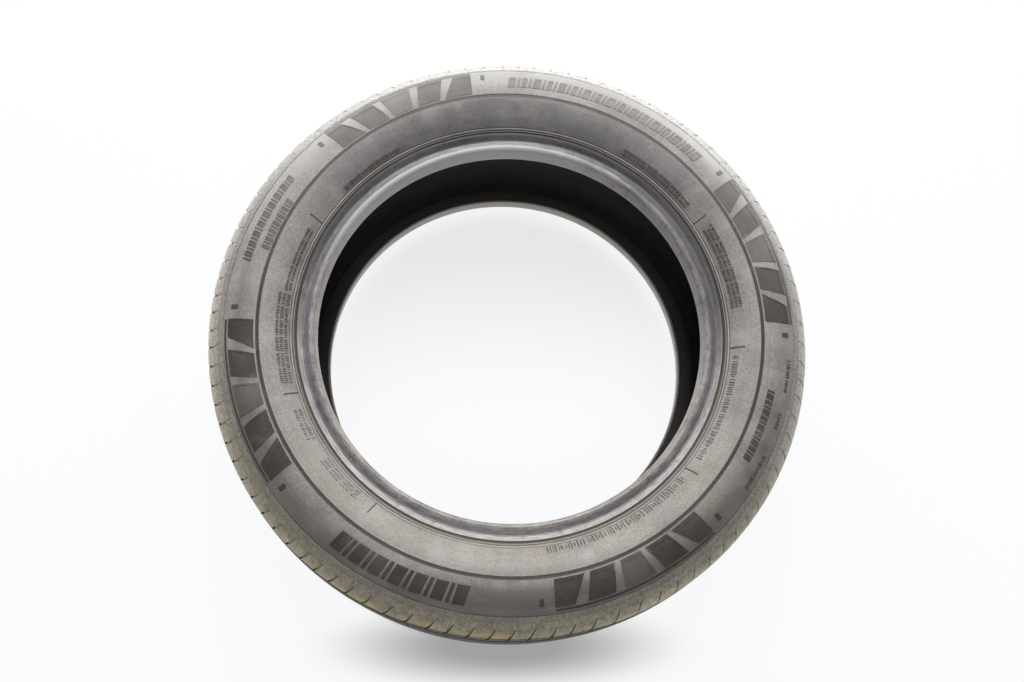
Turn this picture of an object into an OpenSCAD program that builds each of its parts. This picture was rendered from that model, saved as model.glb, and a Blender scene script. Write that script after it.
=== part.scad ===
// Worn passenger car tyre, off its rim and lying on its inner sidewall.
// Millimetres. The wheel axis is Z, the sidewall that faces outwards on a car is on top,
// and z = 0 is the flat crest of the lower sidewall.

/* [Overall] */
// Diameter over the worn crown of the tread
overall_d = 678; // [560:1:760]
// Width over the two sidewall crests
section_w = 215.4; // [165:0.2:275]
// Diameter of the widest part of the sidewalls
widest_d = 568; // [500:1:640]

/* [Bead] */
// Bore diameter of the straight land at each bead toe
seat_d = 433.2; // [405:0.1:460]
// Distance between the two flange faces
bead_spread = 164; // [130:0.5:215]
// Width of a bead from its toe to its flange face
bead_w = 21.5; // [15:0.5:28]
// Width of the straight land next to the toe
seat_land = 6.5; // [3:0.5:12]
// Taper of the seat from the land out to the heel, in degrees
seat_taper = 5; // [3:0.5:8]
// Radius of the bead heel
heel_round = 6; // [2:0.5:9]
// Radius of the bead toe
toe_round = 1.2; // [0.4:0.1:2.5]
// Lean of the bead's inner face away from the toe, in degrees
toe_lean = 22; // [10:1:35]
// Radius where the flange face turns into the sidewall
flange_round = 12; // [4:0.5:18]

/* [Sidewall] */
// Slope of the lower sidewall, in degrees
flare_angle = 45; // [35:1:55]
// Outside radius of the sidewall bulge
side_round = 46; // [25:1:60]
// Width of the flat crest on the bulge
crest_w = 5; // [2:0.5:12]
// Thickness of the lower sidewall over the bead filler
lower_t = 11; // [8:0.5:15]
// Thickness of the sidewall at its crest
wall_t = 7.5; // [5:0.5:12]
// Thickness of the buttress
buttress_t = 9; // [6:0.5:14]
// Inside radius of the sidewall bulge
inner_round = 34; // [15:1:50]
// Inside radius above each bead
bead_inner_round = 16; // [5:1:30]

/* [Sidewall rings] */
// Diameter of the groove that parts the two sidewall bands
band_groove_d = 551.6; // [500:0.2:640]
// Width of that groove
band_groove_w = 4.6; // [1:0.1:8]
// Depth of that groove
band_groove_h = 0.8; // [0.4:0.1:2.5]
// Diameter of the fine line below the buttress
edge_line_d = 626.8; // [560:0.2:680]
// Width of the fine line
edge_line_w = 1.4; // [0.5:0.1:3]
// Depth of the fine line
edge_line_h = 0.6; // [0.2:0.1:1.5]
// Diameters of the two fitting ribs above the flange
rim_rib_d = [480.6, 485.8];
// Width of a fitting rib
rim_rib_w = 1.6; // [0.8:0.1:3]
// Height of a fitting rib
rim_rib_h = 0.8; // [0.3:0.1:2]

/* [Tread] */
// Width of the tread between its two edges
tread_w = 154; // [110:1:220]
// Thickness of the crown from the cavity to the worn surface
crown_t = 13; // [10:0.5:20]
// Half width of the middle zone of the crown
crown_mid = 24; // [15:1:40]
// Fall of the crown outside the middle zone, in degrees
crown_fall = 4.3; // [2:0.1:8]
// Radius of the crown where the fall begins
crown_round = 640; // [200:10:1200]
// Radius of the tread edge
shoulder_round = 35; // [8:1:60]
// Inside radius under the tread edge
inner_shoulder_round = 24; // [8:1:40]
// Distance of each groove's centre line from the middle of the tread
groove_at = [-51, -18.5, 18.5, 51];
// Width of a groove at the surface
groove_w = 9; // [5:0.5:14]
// Width of a groove at its floor
groove_floor_w = 6.5; // [3:0.5:12]
// Depth that wear has left in the grooves
groove_h = 3.4; // [1.6:0.1:8]
// Number of slots around each tread edge
slots = 96; // [48:4:120]
// Width of a slot
slot_w = 2.6; // [1.5:0.1:5]
// Depth of a slot at its inner end
slot_h = 3; // [1.5:0.1:7]
// Slope of a slot's floor towards the sidewall, in degrees
slot_dip = 10; // [0:1:20]
// Gap left between a slot and the groove beside it
slot_gap = 5; // [2:0.5:10]
// Skew of the slots, in degrees
slot_skew = 14; // [0:1:25]

/* [View] */
// Which piece to draw

/* [Hidden] */
$fn = 180;
// height of the middle plane of the tyre
mid_z = section_w / 2;
half_w = section_w / 2;
crown_r = overall_d / 2;
crest_r = widest_d / 2;
face_z = bead_spread / 2;
toe_z = face_z - bead_w;
seat_r = seat_d / 2;
heel_r = seat_r + (bead_w - seat_land) * tan(seat_taper);
// steps along an arc of the section, in degrees
arc_step = 6;
// how far a cutter reaches past the surface it cuts
past = 6;
// how deep an added rib is rooted
root = 2;
black = [0.27, 0.26, 0.25];

// Unit vector
function unit(v) = v / norm(v);

// Where the line through p along u meets the line through q along v
function meet(p, u, q, v) =
    p + u * ((q.x - p.x) * v.y - (q.y - p.y) * v.x) / (u.x * v.y - u.y * v.x);

// Tangent length of a round of radius r at corner b
function tangent(a, b, c, r) = r / tan(acos(unit(a - b) * unit(c - b)) / 2);

// Points of the arc that replaces corner b, with tangent length t
function round_off(a, b, c, t) =
    t < 0.01 ? [b] :
    let (
        u = unit(a - b),
        w = unit(c - b),
        half = acos(u * w) / 2,
        r = t * tan(half),
        o = b + unit(u + w) * r / sin(half),
        p = b + u * t - o,
        q = b + w * t - o,
        from = atan2(p.y, p.x),
        turn = (atan2(q.y, q.x) - from + 540) % 360 - 180,
        n = max(1, ceil(abs(turn) / arc_step))
    )
    [for (i = [0 : n]) o + r * [cos(from + turn * i / n), sin(from + turn * i / n)]];

// A closed path of corners [x, y, radius] with every corner rounded as far as its edges allow
function rounded(c) =
    let (
        n = len(c),
        p = [for (k = c) [k.x, k.y]],
        t = [for (i = [0 : n - 1]) tangent(p[(i + n - 1) % n], p[i], p[(i + 1) % n], c[i].z)],
        room = [for (i = [0 : n - 1])
            min(1, norm(p[(i + 1) % n] - p[i]) / max(0.001, t[i] + t[(i + 1) % n]))]
    )
    [for (i = [0 : n - 1])
        for (q = round_off(
            p[(i + n - 1) % n], p[i], p[(i + 1) % n], t[i] * min(room[i], room[(i + n - 1) % n])
        )) q];

// Radius of the tread at height h above the middle plane
function tread_r(h) =
    crown_r - max(0, abs(h) - crown_mid) * tan(crown_fall);

// The tread edge, and the slope of the line from it that touches the sidewall bulge
crown_corner = [crown_r, crown_mid];
edge_corner = [tread_r(tread_w / 2), tread_w / 2];
bulge = [crest_r + crest_w / 2, half_w - side_round];
to_edge = edge_corner - bulge;
buttress_angle = 90 - atan2(to_edge.y, to_edge.x) - acos(side_round / norm(to_edge));

// The straight lines of the outside, from the middle plane of the tyre
low_corner = [crest_r - crest_w / 2 - side_round * tan(flare_angle / 2), half_w];
high_corner = [bulge.x + side_round * tan(buttress_angle / 2), half_w];
flare_dir = [cos(flare_angle), sin(flare_angle)];
buttress_dir = [cos(buttress_angle), -sin(buttress_angle)];
fall_dir = [-sin(crown_fall), cos(crown_fall)];
flange_corner = meet(low_corner, flare_dir, [0, face_z], [1, 0]);

// The same lines moved in by the wall's thickness
flare_in = low_corner + lower_t * [sin(flare_angle), -cos(flare_angle)];
buttress_in = high_corner - buttress_t * [sin(buttress_angle), cos(buttress_angle)];
crown_in = crown_corner - [crown_t, 0];
crest_in = [0, half_w - wall_t];

// Outer corners from the bead toe to the crown
outside = [
    [seat_r, toe_z, toe_round],
    [seat_r, toe_z + seat_land, 0],
    [heel_r, face_z, heel_round],
    [flange_corner.x, flange_corner.y, flange_round],
    [low_corner.x, low_corner.y, side_round],
    [high_corner.x, high_corner.y, side_round],
    [edge_corner.x, edge_corner.y, shoulder_round],
    [crown_corner.x, crown_corner.y, crown_round]
];

// Inner corners from the crown to the bead toe
bead_in = meet([seat_r, toe_z], [cos(toe_lean), sin(toe_lean)], flare_in, flare_dir);
low_in = meet(flare_in, flare_dir, crest_in, [1, 0]);
high_in = meet(buttress_in, buttress_dir, crest_in, [1, 0]);
edge_in = meet(buttress_in, buttress_dir, crown_in, fall_dir);
inside = [
    [crown_in.x, crown_in.y, crown_round - crown_t],
    [edge_in.x, edge_in.y, inner_shoulder_round],
    [high_in.x, high_in.y, inner_round],
    [low_in.x, low_in.y, inner_round],
    [bead_in.x, bead_in.y, bead_inner_round]
];

upper_half = concat(inside, outside);
lower_half = [for (i = [len(upper_half) - 1 : -1 : 0])
    [upper_half[i].x, -upper_half[i].y, upper_half[i].z]];

// Height of the outer sidewall above the middle plane at radius r
side_points = [for (q = rounded(upper_half)) if (q.y > face_z - 0.01 && q.x > heel_r + heel_round) q];
function side_z(r) = lookup(r, side_points);

// A ring of square section let into or standing on both sidewalls
module side_ring(r, w, low, high) {
    for (side = [-1, 1])
        scale([1, 1, side])
            rotate_extrude()
                translate([r - w / 2, side_z(r) + low])
                    square([w, high - low]);
}

module casing() {
    rotate_extrude()
        polygon(rounded(concat(upper_half, lower_half)));
    for (d = rim_rib_d)
        side_ring(d / 2, rim_rib_w, -root, rim_rib_h);
}

// A groove around the tread, with leaning walls
module tread_groove(h) {
    r = tread_r(h);
    lean = (groove_w - groove_floor_w) / 2 / groove_h * past;
    rotate_extrude()
        polygon([
            [r - groove_h, h - groove_floor_w / 2],
            [r + past, h - groove_w / 2 - lean],
            [r + past, h + groove_w / 2 + lean],
            [r - groove_h, h + groove_floor_w / 2]
        ]);
}

// A slot across the tread edge, open at the buttress
module edge_slot() {
    from = max([for (h = groove_at) h]) + groove_w / 2 + slot_gap;
    to = edge_corner.y + past * 2;
    translate([tread_r(from) - slot_h, 0, from])
        rotate([0, -slot_dip, 0])
            rotate([slot_skew, 0, 0])
                translate([0, -slot_w / 2, 0])
                    cube([slot_h + past * 3, slot_w, (to - from) / cos(slot_skew)]);
}

module edge_slots() {
    for (i = [0 : slots - 1]) {
        rotate([0, 0, i * 360 / slots])
            edge_slot();
        rotate([0, 0, (i + 0.5) * 360 / slots])
            rotate([180, 0, 0])
                edge_slot();
    }
}

module tyre() {
    color(black)
        translate([0, 0, mid_z])
            difference() {
                casing();
                side_ring(band_groove_d / 2, band_groove_w, -band_groove_h, past);
                side_ring(edge_line_d / 2, edge_line_w, -edge_line_h, past);
                for (h = groove_at)
                    tread_groove(h);
                edge_slots();
            }
}

tyre();
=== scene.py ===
import math
import random

import bpy
import numpy as np
from mathutils import Matrix, Vector


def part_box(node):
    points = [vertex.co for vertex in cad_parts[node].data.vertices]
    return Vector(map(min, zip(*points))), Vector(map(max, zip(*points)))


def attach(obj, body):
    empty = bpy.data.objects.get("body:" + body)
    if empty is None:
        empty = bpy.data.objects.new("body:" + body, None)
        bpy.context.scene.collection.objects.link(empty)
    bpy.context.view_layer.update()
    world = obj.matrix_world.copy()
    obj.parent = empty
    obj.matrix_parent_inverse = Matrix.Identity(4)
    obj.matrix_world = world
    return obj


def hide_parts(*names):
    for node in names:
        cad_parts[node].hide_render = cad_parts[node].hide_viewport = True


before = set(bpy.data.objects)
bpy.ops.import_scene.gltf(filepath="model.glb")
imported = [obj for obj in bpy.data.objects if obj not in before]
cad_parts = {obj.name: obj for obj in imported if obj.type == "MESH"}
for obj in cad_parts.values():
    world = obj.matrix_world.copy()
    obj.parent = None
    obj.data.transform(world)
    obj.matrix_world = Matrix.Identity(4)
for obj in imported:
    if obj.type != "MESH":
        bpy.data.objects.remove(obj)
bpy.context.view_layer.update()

MM = 0.001
FULL_TURN = 2 * math.pi
LOW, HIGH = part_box("tyre")
MID_Z = (LOW.z + HIGH.z) / 2 / MM
CROWN_R = HIGH.x / MM
random.seed(17)

# ---------------------------------------------------------------------------
# The section of the tyre, in millimetres: radius, and height over the middle
# plane.
# ---------------------------------------------------------------------------
FACE_H = 82.0                    # flange face
CREST_H = MID_Z                  # crest of the sidewall
BULGE_R = 46.0                   # round of the sidewall bulge
BULGE_AT = (281.5, 286.5)        # inner and outer centre of that round
BULGE_H = CREST_H - BULGE_R
FLARE_FROM = 236.7               # radius where the 45 degree flare starts
SHOULDER_R = 35.0                # round of the shoulder
SHOULDER_AT = (CROWN_R - 37.97, 62.19)
SHOULDER_FROM = math.radians(4.3)    # its first and last direction, from straight outwards
SHOULDER_TO = math.radians(42.78)
LEAN = math.pi / 2 - SHOULDER_TO     # lean of the buttress
CROWN_MID = 24.0                 # half width of the level part of the crown
CROWN_FALL = math.tan(SHOULDER_FROM)
SEAM_R = 313.4                   # fine line between casing and buttress
SEAM_HALF = 0.7
BAND_R = 275.9                   # ring that parts the two sidewall bands
BAND_HALF = 1.9
BAND_DEEP = 0.85


def buttress_points():
    """Where the straight buttress starts on the bulge and ends on the shoulder."""
    on_bulge = (BULGE_AT[1] + BULGE_R * math.sin(LEAN), BULGE_H + BULGE_R * math.cos(LEAN))
    on_shoulder = (SHOULDER_AT[0] + SHOULDER_R * math.cos(SHOULDER_TO),
                   SHOULDER_AT[1] + SHOULDER_R * math.sin(SHOULDER_TO))
    return on_bulge, on_shoulder


BUTTRESS, SHOULDER = buttress_points()
BUTTRESS_FALL = (SHOULDER[1] - BUTTRESS[1]) / (SHOULDER[0] - BUTTRESS[0])


def side_h(r):
    """Height of the outer side at radius r."""
    if r < FLARE_FROM:
        return FACE_H
    if r < BULGE_AT[0] - BULGE_R * math.sin(math.pi / 4):
        return FACE_H + r - FLARE_FROM
    if r < BULGE_AT[0]:
        return BULGE_H + math.sqrt(BULGE_R ** 2 - (BULGE_AT[0] - r) ** 2)
    if r < BULGE_AT[1]:
        return CREST_H
    if r < BUTTRESS[0]:
        return BULGE_H + math.sqrt(BULGE_R ** 2 - (r - BULGE_AT[1]) ** 2)
    if r < SHOULDER[0]:
        return BUTTRESS[1] + (r - BUTTRESS[0]) * BUTTRESS_FALL
    return SHOULDER_AT[1] + math.sqrt(max(0.0, SHOULDER_R ** 2 - (r - SHOULDER_AT[0]) ** 2))


def crown_r(h):
    """Radius of the tread at height h."""
    return CROWN_R - max(0.0, abs(h) - CROWN_MID) * CROWN_FALL


# ---------------------------------------------------------------------------
# Modelling helpers
# ---------------------------------------------------------------------------
def start(kind, **size):
    """Adds a primitive with nothing else selected, and goes into edit mode."""
    bpy.ops.object.select_all(action="DESELECT")
    getattr(bpy.ops.mesh, "primitive_" + kind + "_add")(**size)
    piece = bpy.context.object
    bpy.ops.object.transform_apply(location=True, rotation=True, scale=True)
    bpy.ops.object.mode_set(mode="EDIT")
    bpy.ops.mesh.select_mode(type="VERT")
    bpy.ops.mesh.select_all(action="SELECT")
    return piece


def place(piece):
    """Leaves edit mode."""
    bpy.ops.object.mode_set(mode="OBJECT")
    return piece


def draw_out(step):
    """Extrudes what is selected by a step in metres."""
    bpy.ops.mesh.extrude_region_move(TRANSFORM_OT_translate={"value": tuple(step)})


def trace(line):
    """A line of edges through points, drawn out from one corner of a plane."""
    piece = start("plane", size=MM, location=line[0])
    bpy.ops.mesh.merge(type="CENTER")
    for a, b in zip(line, line[1:]):
        draw_out(Vector(b) - Vector(a))
    return piece


def corners(piece):
    """The mesh's corners as an array."""
    flat = np.empty(len(piece.data.vertices) * 3)
    piece.data.vertices.foreach_get("co", flat)
    return flat.reshape(-1, 3)


def move_corners(piece, points):
    piece.data.vertices.foreach_set("co", np.ascontiguousarray(points).ravel())
    piece.data.update()


def copy_of(piece):
    """Another piece with its own mesh."""
    twin = piece.copy()
    twin.data = piece.data.copy()
    bpy.context.scene.collection.objects.link(twin)
    return twin


def joined(name, pieces, gap):
    """One piece of many, with corners closer than the gap made one."""
    bpy.ops.object.select_all(action="DESELECT")
    for piece in pieces:
        piece.select_set(True)
    bpy.context.view_layer.objects.active = pieces[0]
    if len(pieces) > 1:
        bpy.ops.object.join()
    piece = bpy.context.object
    piece.name = piece.data.name = name
    bpy.ops.object.mode_set(mode="EDIT")
    bpy.ops.mesh.select_all(action="SELECT")
    if gap:
        bpy.ops.mesh.remove_doubles(threshold=gap)
    bpy.ops.mesh.normals_make_consistent(inside=False)
    bpy.ops.object.mode_set(mode="OBJECT")
    return piece


def smooth(piece, degrees):
    """Smooth shading over edges that turn less than an angle."""
    bpy.ops.object.select_all(action="DESELECT")
    piece.select_set(True)
    bpy.context.view_layer.objects.active = piece
    bpy.ops.object.shade_smooth_by_angle(angle=math.radians(degrees))


def arc(centre, radius, from_deg, to_deg, steps):
    """Points of an arc in the section."""
    turns = [math.radians(from_deg + (to_deg - from_deg) * i / steps) for i in range(steps + 1)]
    return [(centre[0] + radius * math.cos(a), centre[1] + radius * math.sin(a)) for a in turns]


def polar(radius, turn, z):
    """Points at a radius, a direction round the axis and a height over the middle plane, in metres."""
    return np.stack([radius * np.cos(turn), radius * np.sin(turn), MID_Z + z], 1) * MM


# ---------------------------------------------------------------------------
# Casing: beads, sidewalls, liner
# ---------------------------------------------------------------------------
STEPS_ROUND = 288
TOE_R = 216.6
HEEL_R = TOE_R + 15 * math.tan(math.radians(5))
HEEL_ROUND = 4.6
# toe and seat, as (outwards from the toe, height)
SEAT_LINE = ((0.35, 60.85), (0.0, 61.8), (0.0, 67.0), (0.45, 72.0), (0.8, 75.5))
# outwards from the heel and up from the flange face: the face falls to a hollow,
# rises to the ridge, and drops to the dirt ledge and the two fitting ribs
FLANGE_LINE = (
    (6.2, -0.25), (8.2, -0.65), (10.2, -1.15), (12.0, -1.5), (13.1, -1.45), (14.0, -0.95), (14.9, 0.15),
    (15.8, 1.45), (16.7, 2.65), (17.5, 3.5), (18.3, 3.95), (19.1, 4.0),
    (19.8, 3.55), (20.8, 3.5), (21.6, 3.95), (21.9, 4.75), (22.5, 4.95), (22.8, 4.5), (23.9, 5.25),
    (24.15, 6.05), (24.9, 6.45), (25.4, 6.3),
)
UNDER_BUTTRESS = 2.6             # how far the casing lies under the buttress
UNDER_CROWN = 4.0                # and under the crown
UNDER_SHOULDER_R = 31.8
CROWN_THICK = 13.0


def outer_half():
    """Outside of the casing from the bead toe to the middle under the tread."""
    line = [(TOE_R + x, h) for x, h in SEAT_LINE]
    line += arc((HEEL_R + 4.3, 77.4), HEEL_ROUND, 176, 84, 8)
    line += [(HEEL_R + x, FACE_H + h) for x, h in FLANGE_LINE]
    line += [(r, side_h(r)) for r in (245.0, 247.0)]
    line += [(r, side_h(r)) for r in np.linspace(249.0, 272.6, 12)]
    # the ring between the bands
    near, far = BAND_R - BAND_HALF, BAND_R + BAND_HALF
    line += [(near, side_h(near)), (near + 0.35, side_h(near) - 0.75), (BAND_R, side_h(BAND_R) - BAND_DEEP),
             (far - 0.35, side_h(far) - 0.75), (far, side_h(far))]
    line += [(r, side_h(r)) for r in (279.4, 281.5, 284.0, 286.5)]
    seam = SEAM_R - SEAM_HALF
    line += [(r, side_h(r)) for r in np.linspace(289.0, seam - 0.2, 11)]
    line += [(seam + 0.1, side_h(seam) - 0.25), (seam + 0.4, side_h(seam) - 1.3),
             (SEAM_R + 1.2, side_h(SEAM_R) - 2.9)]
    # under the buttress and the tread
    line += [(BUTTRESS[0] - UNDER_BUTTRESS * math.sin(LEAN), BUTTRESS[1] - UNDER_BUTTRESS * math.cos(LEAN))]
    line += [(SHOULDER_AT[0] + UNDER_SHOULDER_R * math.cos(a), SHOULDER_AT[1] + UNDER_SHOULDER_R * math.sin(a))
             for a in np.linspace(SHOULDER_TO, SHOULDER_FROM, 5)]
    line += [(crown_r(h) - UNDER_CROWN, h) for h in (40.0, 24.0)]
    return line


def liner_half():
    """Inside of the casing from the middle of the crown to the bead toe."""
    line = [(crown_r(h) - CROWN_THICK, h) for h in (8.0, 24.0, 40.0, 52.0)]
    line += arc((302.0, 60.0), 22.6, 12, 50, 6)        # under the shoulder
    line += arc((286.0, 66.2), 34.0, 58, 88, 5)        # the bulge
    line += arc((281.0, 66.2), 34.0, 94, 132, 7)
    line += [(252.0, 86.3), (246.5, 80.3)]
    line += arc((252.3, 64.6), 16.0, 137, 157, 3)      # into the bead
    line += [(233.5, 67.6), (226.0, 64.6), (219.0, 61.8)]
    return line


def casing():
    """The section traced as one loop and spun round the axis."""
    inside = liner_half()
    half = inside + outer_half()
    loop = half + [(r, -h) for r, h in reversed(half)]
    loop.append(loop[0])
    piece = trace([(r * MM, 0, (MID_Z + h) * MM) for r, h in loop])
    bpy.ops.mesh.select_all(action="SELECT")
    bpy.ops.mesh.remove_doubles(threshold=0.01 * MM)
    bpy.ops.mesh.spin(steps=STEPS_ROUND, angle=FULL_TURN, center=(0, 0, 0), axis=(0, 0, 1))
    place(piece)
    piece = joined("casing", [piece], gap=0.01 * MM)
    smooth(piece, 40)
    # the faces of the liner take the second finish
    middles = np.array([((a[0] + b[0]) / 2, (a[1] + b[1]) / 2) for a, b in zip(half, half[1:])])
    for face in piece.data.polygons:
        x, y, z = face.center / MM
        off = np.hypot(middles[:, 0] - math.hypot(x, y), middles[:, 1] - abs(z - MID_Z))
        face.material_index = int(off.argmin() < len(inside) - 1)
    return piece


# ---------------------------------------------------------------------------
# Tread: one pitch is modelled flat, then laid round the crown
# ---------------------------------------------------------------------------
GROOVES = (51.0, 18.5)
GROOVE_HALF, GROOVE_FLOOR_HALF, GROOVE_DEEP = 4.5, 3.25, 3.4
PITCHES = 96
PITCH_LENGTHS = (0.86, 1.0, 1.15)
SLOT_AT, SIPE_AT = 0.32, 0.79    # where the slot and the sipe stand in a pitch
SLOT_WIDE, SLOT_DEEP = 2.6, 2.7
SHALLOW_DEEP = 0.6
SHALLOW_FROM_R, SLOT_FROM_R = 321.0, 327.0   # where the shallow part and the slot start
SLOT_TO_H = 60.4                 # where the slot ends on the crown
SIPE_HALF, SIPE_DEEP = 0.35, 1.8
SLOT_LEAN = 0.30                 # how far the slots lean, per millimetre along the track
LEAN_END = 88.0                  # where the lean ends, from the middle
SLOPE_HEIGHTS = (60.5, 57.5, 51.0, 44.0, 35.0, 26.0)     # points on the sloping part of the crown
LEVEL_HEIGHTS = (23.0, 18.5, 11.0, 0.0)                  # and on its level part


def outer_track():
    """Line over one half of the tread from the seam to the middle: points with outward normals."""
    track = []
    for r in (SEAM_R + SEAM_HALF, 316.4, 318.3):
        n = Vector((r - BULGE_AT[1], side_h(r) - BULGE_H)).normalized()
        track.append(((r, side_h(r)), n))
    n = Vector((math.sin(LEAN), math.cos(LEAN)))
    track.append((BUTTRESS, n))
    track.append((((BUTTRESS[0] + SHOULDER[0]) / 2, (BUTTRESS[1] + SHOULDER[1]) / 2), n))
    for a in np.linspace(SHOULDER_TO, SHOULDER_FROM, 9):
        n = Vector((math.cos(a), math.sin(a)))
        track.append(((SHOULDER_AT[0] + SHOULDER_R * n.x, SHOULDER_AT[1] + SHOULDER_R * n.y), n))
    n = Vector((math.cos(SHOULDER_FROM), math.sin(SHOULDER_FROM)))
    for h in SLOPE_HEIGHTS:
        track.append(((crown_r(h), h), n))
    for h in LEVEL_HEIGHTS:
        track.append(((CROWN_R, h), Vector((1.0, 0.0))))
    return track


TRACK_HALF = outer_track()
TRACK = TRACK_HALF + [((p[0], -p[1]), Vector((n.x, -n.y))) for p, n in reversed(TRACK_HALF[:-1])]
TRACK_P = np.array([p for p, n in TRACK])
TRACK_N = np.array([tuple(n) for p, n in TRACK])
TRACK_S = np.concatenate([[0], np.cumsum(np.hypot(*np.diff(TRACK_P, axis=0).T))])
TRACK_S -= TRACK_S[-1] / 2


def s_of_height(h):
    """Distance along the track from the middle, for a height on the crown."""
    return float(np.interp(-h, -TRACK_P[:, 1], TRACK_S))


def s_of_radius(r):
    """Distance along the track, for a radius on the upper buttress or the shoulder."""
    n = len(TRACK_HALF) - len(LEVEL_HEIGHTS)
    return float(np.interp(r, TRACK_P[:n, 0], TRACK_S[:n]))


def seam_rows():
    """Rows from the seam to the middle of the tread, as (distance along the track, height over it)."""
    first = float(TRACK_S[0])
    rows = [(first, -3.2), (first + 0.1, -0.4), (first + 0.5, 0.0)]
    # buttress, shoulder and the first point of the crown
    rows += [(float(s), 0.0) for s in TRACK_S[1:15]]
    for middle, last in ((GROOVES[0], 44.0), (GROOVES[1], 11.0)):
        edges = [(GROOVE_HALF + 0.5, 0.0), (GROOVE_HALF, -0.45), (GROOVE_FLOOR_HALF, -GROOVE_DEEP)]
        rows += [(s_of_height(middle + w), h) for w, h in edges]
        rows += [(s_of_height(middle - w), h) for w, h in reversed(edges)]
        rows += [(s_of_height(h), 0.0) for h in ((last, 35.0, 26.0) if last > 20 else (last,))]
    return rows


def under_rows():
    """Rows of the hidden underside, from the middle back to the seam."""
    return [(s_of_height(40.0), -4.5), (float(TRACK_S[13]), -3.9), (float(TRACK_S[9]), -3.8),
            (float(TRACK_S[5]), -3.7), (float(TRACK_S[2]), -3.3)]


def chosen(piece, test):
    """Selects the faces whose middle, in millimetres, passes the test, in edit mode."""
    bpy.ops.mesh.select_all(action="DESELECT")
    bpy.ops.object.mode_set(mode="OBJECT")
    for face in piece.data.polygons:
        face.select = bool(test(face.center / MM))
    bpy.ops.object.mode_set(mode="EDIT")
    bpy.ops.mesh.select_mode(type="FACE")


def sink(depth):
    draw_out((0, 0, -depth * MM))


def pitch(width):
    """One pitch of the tread, modelled flat: X along the tread, Y from seam to seam, Z up from the surface."""
    half = seam_rows()
    rows = half + [(0.0, 0.0)] + [(-s, h) for s, h in reversed(half)]
    under = under_rows()
    rows += [(-s, h) for s, h in reversed(under)] + [(0.0, -4.5)] + under
    rows.append(rows[0])
    piece = trace([(0, s * MM, h * MM) for s, h in rows])
    bpy.ops.mesh.select_all(action="SELECT")
    bpy.ops.mesh.remove_doubles(threshold=0.01 * MM)
    slot_x, sipe_x = SLOT_AT * width, SIPE_AT * width
    slot_half = SLOT_WIDE / 2
    columns = [0, slot_x - slot_half - 2.0, slot_x - slot_half, slot_x - 0.3, slot_x + 0.3, slot_x + slot_half,
               (slot_x + sipe_x) / 2 + 0.5, sipe_x - SIPE_HALF, sipe_x + SIPE_HALF, width]
    bpy.ops.mesh.select_all(action="SELECT")
    for a, b in zip(columns, columns[1:]):
        draw_out(((b - a) * MM, 0, 0))
    # slots over both tread edges, which run out down the buttress in shallow ones
    shallow_from, slot_from = s_of_radius(SHALLOW_FROM_R), s_of_radius(SLOT_FROM_R)
    slot_to = s_of_height(SLOT_TO_H)
    at_top = lambda c: c.z > -0.2
    in_slot = lambda c: abs(c.x - slot_x) < slot_half and at_top(c)
    chosen(piece, lambda c: in_slot(c) and slot_from < -abs(c.y) < slot_to)
    sink(SLOT_DEEP)
    chosen(piece, lambda c: in_slot(c) and shallow_from < -abs(c.y) < slot_from)
    sink(SHALLOW_DEEP)
    # sipes in the ribs
    in_rib = lambda s: 26.1 < abs(s) < 44.2 or abs(s) < 11.1
    chosen(piece, lambda c: abs(c.x - sipe_x) < SIPE_HALF and at_top(c) and in_rib(c.y))
    sink(SIPE_DEEP)
    place(piece)
    # the floors and walls of slots, sipes and grooves take the second finish
    for face in piece.data.polygons:
        c = face.center / MM
        face.material_index = int(-3.6 < c.z < -0.9 and abs(c.y) < -slot_from + 0.5)
    flat_map = piece.data.uv_layers.new(name="flat")
    points = corners(piece) / MM
    for loop in piece.data.loops:
        x, y, _ = points[loop.vertex_index]
        flat_map.data[loop.index].uv = (x - slot_x, y)
    return piece


CROWN_EDGE = -s_of_height(62.0)  # where the running face ends, along the track from the middle


def bend_round(piece, angle):
    """Lays a flat pitch on the crown, starting at an angle in radians."""
    x, s, h = (corners(piece) / MM).T
    n = np.stack([np.interp(s, TRACK_S, TRACK_N[:, i]) for i in (0, 1)])
    n /= np.hypot(*n)
    r = np.interp(s, TRACK_S, TRACK_P[:, 0]) + h * n[0]
    z = np.interp(s, TRACK_S, TRACK_P[:, 1]) + h * n[1]
    turn = angle + (x - SLOT_LEAN * np.clip(s, -LEAN_END, LEAN_END)) / CROWN_R
    move_corners(piece, polar(r, turn, z))


def tread():
    """The buttresses and the worn tread, in pitches of three lengths."""
    order = [random.choice((0, 1, 1, 2)) for _ in range(PITCHES)]
    unit = FULL_TURN * CROWN_R / sum(PITCH_LENGTHS[k] for k in order)
    models = [pitch(unit * k) for k in PITCH_LENGTHS]
    laid, angle = [], 0.0
    for k in order:
        laid.append(copy_of(models[k]))
        bend_round(laid[-1], angle)
        angle += unit * PITCH_LENGTHS[k] / CROWN_R
    for model in models:
        bpy.data.objects.remove(model)
    piece = joined("tread", laid, gap=0.02 * MM)
    smooth(piece, 32)
    return piece


# ---------------------------------------------------------------------------
# Moulded marks on the sidewalls: plain blocks, bars and ticks
# ---------------------------------------------------------------------------
SIDE_R = np.linspace(240.0, 334.0, 400)
SIDE_H = np.array([side_h(r) for r in SIDE_R])
PROUD = 0.55                     # how far the marks stand proud of the rubber


def lay(piece, angle, r, side):
    """Bends a flat piece on to a sidewall: X round the tyre, Y outwards, Z proud of the rubber."""
    x, y, z = (corners(piece) / MM).T
    radius = r + y
    turn = math.radians(angle) + side * x / radius
    height = side * (np.interp(radius, SIDE_R, SIDE_H) + z)
    move_corners(piece, polar(radius, turn, height))


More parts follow.
